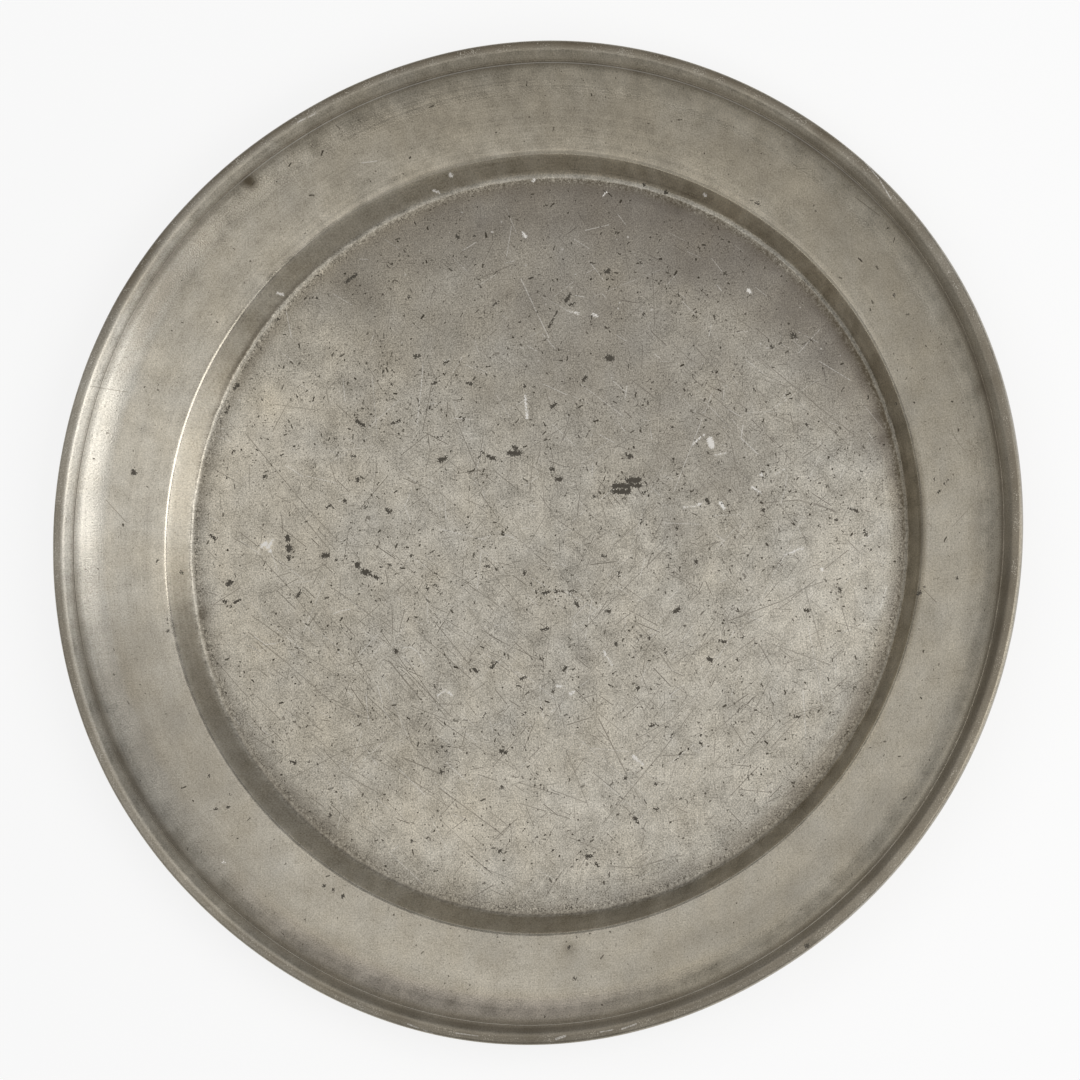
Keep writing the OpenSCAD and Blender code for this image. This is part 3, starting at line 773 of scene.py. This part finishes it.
class Shading:
    """Adds nodes to a material. Values are sockets or plain numbers, and most methods give back a socket."""

    def __init__(self, tree):
        self.tree = tree

    def node(self, kind, settings, inputs):
        made = self.tree.nodes.new("ShaderNode" + kind)
        for name, value in settings.items():
            setattr(made, name, value)
        for name, value in inputs.items():
            self.feed(made.inputs[name], value)
        return made

    def feed(self, socket, value):
        if isinstance(value, bpy.types.NodeSocket):
            self.tree.links.new(value, socket)
        else:
            socket.default_value = value

    def math(self, operation, *values):
        return self.node("Math", {"operation": operation}, dict(enumerate(values))).outputs[0]

    def total(self, first, *others):
        for other in others:
            first = self.math("ADD", first, other)
        return first

    def product(self, first, *others):
        for other in others:
            first = self.math("MULTIPLY", first, other)
        return first

    def most(self, first, *others):
        for other in others:
            first = self.math("MAXIMUM", first, other)
        return first

    def vector(self, operation, *values):
        made = self.node("VectorMath", {"operation": operation}, dict(enumerate(values)))
        return made.outputs["Value" if operation in ("DISTANCE", "LENGTH", "DOT_PRODUCT") else "Vector"]

    def parts(self, value):
        return self.node("SeparateXYZ", {}, {0: value}).outputs[:3]

    def fade(self, value, low, high, start=0, end=1):
        """Goes smoothly from start, where the value is low, to end, where it is high."""
        return self.node("MapRange", {"interpolation_type": "SMOOTHSTEP"},
                         {0: value, 1: low, 2: high, 3: start, 4: end}).outputs[0]

    def band(self, value, low, high, ease):
        """One between low and high, with soft ends."""
        rise = self.fade(value, low - ease, low + ease)
        fall = self.fade(value, high + ease, high - ease)
        return self.product(rise, fall)

    def noise(self, place, scale, detail, roughness=0.5, dimensions="2D"):
        """Noise about zero."""
        made = self.node("TexNoise", {"noise_dimensions": dimensions},
                         {"Vector": place, "Scale": scale, "Detail": detail, "Roughness": roughness})
        return self.math("SUBTRACT", made.outputs[0], 0.5)

    def streaks(self, place, turn):
        """Thin streaks that all lean one way: above 0 where dark and below 0 where pale."""
        turned = self.node("Mapping", {"vector_type": "TEXTURE"}, {
            "Vector": place,
            "Rotation": (0, 0, math.radians(turn)),
            "Scale": (STREAK_LENGTH, 1, 1),
        }).outputs[0]
        wave = self.noise(turned, STREAK_SCALE, 1)
        return self.math("SUBTRACT", self.fade(wave, 0.14, 0.24), self.fade(wave, -0.14, -0.24))

    def blend(self, share, a, b):
        return self.node("Mix", {"data_type": "RGBA"}, {0: share, 6: a, 7: b}).outputs[2]

    def cells(self, place, scale):
        """Distance to the nearest of scattered points, and three random numbers for it."""
        made = self.node("TexVoronoi", {"voronoi_dimensions": "2D"}, {"Vector": place, "Scale": scale})
        return made.outputs["Distance"], self.parts(made.outputs["Color"])

    def attribute(self, name, output):
        return self.node("Attribute", {"attribute_name": name}, {}).outputs[output]

    def strokes(self, place, layer, ragged):
        """How far a layer's stroke covers a place: darkly, and palely."""
        start = self.attribute(layer + "_start", "Vector")
        reach = self.attribute(layer + "_reach", "Vector")
        width = self.parts(start)[2]
        tone = self.parts(reach)[2]
        away = self.vector("MULTIPLY", self.vector("SUBTRACT", place, start), (1, 1, 0))
        line = self.vector("MULTIPLY", reach, (1, 1, 0))
        ahead = self.vector("DOT_PRODUCT", away, line)
        whole = self.vector("DOT_PRODUCT", line, line)
        share = self.node("Math", {"operation": "DIVIDE", "use_clamp": True}, {0: ahead, 1: whole}).outputs[0]
        nearest = self.node("VectorMath", {"operation": "SCALE"}, {0: line, "Scale": share}).outputs[0]
        off = self.math("DIVIDE", self.total(self.vector("DISTANCE", away, nearest), ragged), width)
        shade = self.product(self.fade(off, 1.1, 0.7), tone)
        return self.math("MAXIMUM", shade, 0), self.math("MAXIMUM", self.product(shade, -1), 0)


def at(r):
    """Run along the upper side of the section out to a radius in millimetres."""
    return float(np.interp(r * MM, over_r, run[:top_count]))


def pewter():
    """Old pewter: turned on the rim, scratched, pitted and stained in the well, grimy in its hollows, with
    painted shade and painted highlights.
    """
    material = bpy.data.materials.new("pewter")
    material.use_nodes = True
    s = Shading(material.node_tree)
    place = s.node("TexCoord", {}, {}).outputs["Object"]
    along, stain_and_shade, tint = [s.attribute(name, "Fac") for name in ("along", "stain_and_shade", "tint")]
    well = s.fade(along, at(WELL_OUT), at(WELL_IN))
    upper = s.fade(along, edge_run + 1 * MM, edge_run)
    use = s.product(s.fade(well, 0, 1, 0.55, 1), upper)

    # Mottling and grain
    mottle = s.noise(place, MOTTLE_SCALE, 5, 0.66)
    grain = s.noise(s.vector("ADD", place, (0.7, 0.3, 0)), GRAIN_SCALE, 1, 0.7)
    rough = s.total(mottle, grain)
    scoured = s.total(*[s.streaks(place, turn) for turn in SCOUR_TURNS])
    crust = s.band(along, at(166.4), at(171.4), 1.2 * MM)
    crumbs = s.product(s.noise(place, CRUMB_SCALE, 2, 0.6), crust)
    patchy = s.total(s.product(mottle, 1.25), s.product(grain, 1.5),
                     s.product(scoured, -0.13), s.product(crumbs, 0.9))
    uneven = s.product(patchy, use, s.total(1, s.product(crust, 0.4)))

    # Small damage
    cell, chance = s.cells(s.vector("ADD", place, s.product(grain, 0.4 * MM)), DUST_SCALE)
    size = s.math("MULTIPLY_ADD", s.product(chance[1], chance[1]), 0.2, 0.07)
    frequent = s.fade(s.total(chance[0], s.product(mottle, 1.6)), 0.55, 0.6)
    dust = s.product(s.fade(s.math("DIVIDE", cell, size), 1.1, 0.6), frequent, use)
    pitted = s.product(s.fade(mottle, 0.21, 0.25), use)
    ragged = s.product(rough, 2.6 * MM)
    broken = s.fade(rough, -0.2, 0.1, 0.35, 1)
    flakes, chips = s.strokes(place, "marks", ragged)
    dots, specks = s.strokes(place, "pits", s.product(ragged, 0.2))
    dark_lines, pale_lines = 0, 0
    for layer in ("lines", "hairs", "more_hairs"):
        dark, pale = s.strokes(place, layer, 0)
        dark_lines = s.most(dark, dark_lines)
        pale_lines = s.most(pale, pale_lines)

    # Turning lines round the rim
    x, y, _ = s.parts(s.vector("NORMALIZE", s.vector("MULTIPLY", place, (1, 1, 0))))
    turned = s.node("CombineXYZ", {}, {
        0: s.product(x, RING_DRIFT),
        1: s.product(y, RING_DRIFT),
        2: s.product(along, RING_SCALE),
    }).outputs[0]
    rings = s.noise(turned, 1, 1, dimensions="3D")

    # Colour
    crest = s.band(along, at(224.6), at(227.4), 0.4 * MM)
    rubbed = s.product(s.fade(rough, 0.2, 0.28), crest, upper)
    # Grime and painted shade darken the metal; rubbed places and painted highlights lighten it
    darkened = s.math("MAXIMUM", stain_and_shade, 0)
    cloudy = s.product(mottle, s.fade(well, 0, 1, 0.5, 1.4), s.fade(darkened, 0.2, 0.8, 1, 0.2))
    grime_and_shade = s.product(darkened, s.total(1, cloudy, s.product(crumbs, -0.9)), s.fade(rubbed, 0, 1, 1, 0.45))
    rubbed_and_painted_light = s.math("MAXIMUM", s.product(stain_and_shade, -0.9), 0)
    tone = s.total(1, uneven, rubbed_and_painted_light, s.product(rings, s.fade(well, 0, 1, 0.28, 0)))
    plain = s.blend(s.total(tint, s.product(mottle, -0.6)), COOL, WARM)
    hollow = s.band(along, at(208), at(218), 4 * MM)
    in_front = s.product(hollow, s.fade(y, -0.6, -1), s.fade(x, 0.4, 0.05, 0, 0.6))
    plain = s.blend(in_front, plain, MAUVE)
    metal = s.node("VectorMath", {"operation": "SCALE"}, {0: plain, "Scale": tone}).outputs[0]
    # A pale line painted along the inner lip of the turned line: a painted highlight, none on the left and
    # right, fainter on the near side
    lip_run = s.total(along, s.product(y, 0.6 * MM))
    lip_highlight = s.band(lip_run, at(219.15), at(219.45), 0.12 * MM)
    lip_highlight = s.product(lip_highlight, s.band(x, -0.65, 0.75, 0.15), s.fade(y, -1, 1, 0.15, 0.45))
    dirt = s.most(s.product(dust, 0.5), s.product(pitted, 0.6), s.product(dark_lines, broken))
    inside = s.product(s.fade(along, at(169), at(164)), s.fade(x, -0.7, 0.3, 0.45, 1))
    grime_and_shade_colour = s.blend(inside, GRIME_AND_SHADE, TARNISH_AND_SHADE)
    colour = s.blend(s.most(grime_and_shade, dirt), metal, grime_and_shade_colour)
    colour = s.blend(s.most(s.product(pale_lines, broken), lip_highlight), colour, CHIP_AND_HIGHLIGHT)
    colour = s.blend(s.most(flakes, dots), colour, FLAKE)
    colour = s.blend(s.most(chips, specks), colour, CHIP_AND_HIGHLIGHT)

    # Gloss and relief
    shine = s.band(along, at(178.6), at(180.2), 0.5 * MM)
    roughness = s.total(0.36, s.product(well, 0.1), s.product(grime_and_shade, 0.12), s.product(mottle, 0.3),
                        s.product(shine, -0.12), s.product(s.most(flakes, dirt, dots), 0.2),
                        s.product(rings, s.fade(well, 0, 1, 0.2, 0)))
    sweep = s.band(along, at(205), at(223), 3 * MM)
    depth = s.total(0.02 * MM, s.product(sweep, 0.12 * MM), s.product(crust, 0.1 * MM))
    height = s.total(s.product(grain, use, depth), s.product(crumbs, 0.05 * MM))
    bump = s.node("Bump", {}, {"Strength": 1, "Distance": 1, "Height": height}).outputs[0]

    shader = s.tree.nodes["Principled BSDF"]
    s.feed(shader.inputs["Base Color"], colour)
    s.feed(shader.inputs["Metallic"], s.math("SUBTRACT", 1, s.product(s.most(flakes, chips), 0.7)))
    s.feed(shader.inputs["Roughness"], roughness)
    s.feed(shader.inputs["Normal"], bump)
    return material


# Light: lamps with their place, target, width, height and radiance, and the grey all round
LAMPS = (
    ("side_softbox", (0.785, -0.2, 1.125), (-0.21, 0, 0), 0.86, 0.75, 3.1),
    ("low_fill", (2.9, -0.4, 0.606), (-0.21, 0, 0), 2.0, 1.0, 2.0),
    ("overhead", (-0.5, 0.6, 2.0), (-0.5, 0.6, 0), 2.6, 1.9, 0.68),
)
SURROUND = (0.36, 0.36, 0.36, 1)

# Floor: radius and height of its rings, their points, its grey and how brightly it is seen
FLOOR_RINGS = ((0.5, 0), (1, 0), (7, 0), (9, 0.2), (11, 0.8), (12, 2))
FLOOR_SEGMENTS = 96
FLOOR_GREY = (0.2, 0.2, 0.2, 1)
FLOOR_GLOW = 0.8
WHITE = (1, 1, 1, 1)


def area_light(name, place, target, width, height, radiance):
    """A lamp that faces its target and looks as bright as a surface of that radiance."""
    data = bpy.data.lights.new(name, "AREA")
    data.shape = "RECTANGLE"
    data.size = width
    data.size_y = height
    data.energy = radiance * math.pi * width * height
    lamp = bpy.data.objects.new(name, data)
    lamp.location = place
    lamp.rotation_euler = (Vector(place) - Vector(target)).to_track_quat("Z", "Y").to_euler()
    lamp.visible_camera = False
    bpy.context.scene.collection.objects.link(lamp)


def make_light():
    for lamp in LAMPS:
        area_light(*lamp)
    world = bpy.data.worlds.new("studio")
    world.use_nodes = True
    world.node_tree.nodes["Background"].inputs["Color"].default_value = SURROUND
    bpy.context.scene.world = world


def make_floor():
    """A pale floor that sweeps up far away all round, white to the eye and to the metal."""
    count = FLOOR_SEGMENTS
    points = [(0, 0, 0)]
    for r, z in FLOOR_RINGS:
        points += ring(r, z, count)
    faces = [(0, 1 + j, 1 + (j + 1) % count) for j in range(count)]
    for i in range(len(FLOOR_RINGS) - 1):
        faces += strip(1 + i * count, count, 1 + (i + 1) * count, count)
    mesh = bpy.data.meshes.new("floor")
    mesh.from_pydata(points, [], faces)
    floor = bpy.data.objects.new("floor", mesh)
    bpy.context.scene.collection.objects.link(floor)
    material = bpy.data.materials.new("floor")
    material.use_nodes = True
    s = Shading(material.node_tree)
    rays = s.node("LightPath", {}, {}).outputs
    seen = s.total(rays["Is Camera Ray"], rays["Is Glossy Ray"], rays["Is Transmission Ray"])
    shader = s.tree.nodes["Principled BSDF"]
    s.feed(shader.inputs["Base Color"], FLOOR_GREY)
    s.feed(shader.inputs["Roughness"], 1)
    s.feed(shader.inputs["Specular IOR Level"], 0)
    s.feed(shader.inputs["Emission Color"], WHITE)
    s.feed(shader.inputs["Emission Strength"], s.product(seen, FLOOR_GLOW))
    mesh.materials.append(material)


make_camera()
make_light()
make_floor()
dish = make_dish()
dish.data.materials.append(pewter())
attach(dish, "root")
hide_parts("dish")
bpy.context.scene.view_settings.view_transform = "Standard"
